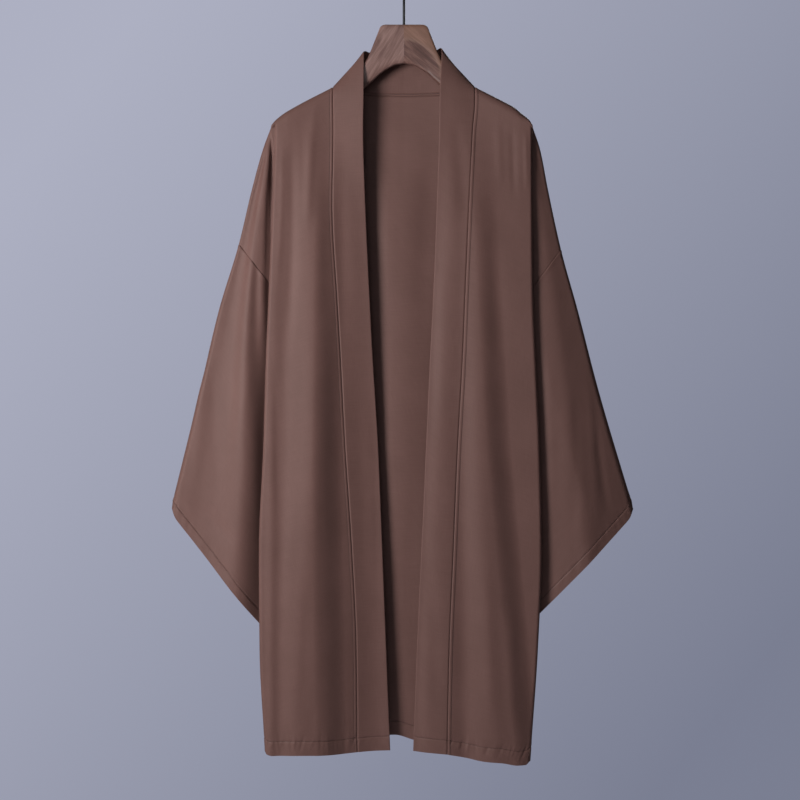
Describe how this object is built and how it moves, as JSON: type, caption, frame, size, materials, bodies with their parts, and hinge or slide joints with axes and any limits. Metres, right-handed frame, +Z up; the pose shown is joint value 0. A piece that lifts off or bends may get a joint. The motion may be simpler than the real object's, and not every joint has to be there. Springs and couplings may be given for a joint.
{
  "type": "meditation kimono on a wooden clothes hanger",
  "caption": "Open-front robe with a straight collar band, dropped shoulders and wide sleeves, hanging on a wooden hanger with a wire hook.",
  "frame": {"origin": "inner top of the hook's bow, where the rail that holds the hanger lies, on the hook's upright axis", "axes": "+Z up; the open front of the robe faces -Y; +X to the viewer's right when looking at the front"},
  "size_m": [0.732, 0.0902, 1.248],
  "materials": {
    "crepe": "soft brown crepe with a faint sheen",
    "walnut": "satin lacquered walnut",
    "hook_steel": "darkened steel wire"
  },
  "bodies": {
    "root": {"back": "crepe", "front_left": "crepe", "front_right": "crepe", "sleeve_left": "crepe", "sleeve_right": "crepe", "collar": "crepe", "hanger_left": "walnut", "hanger_right": "walnut", "hook": "hook_steel"}
  },
  "joints": []
}
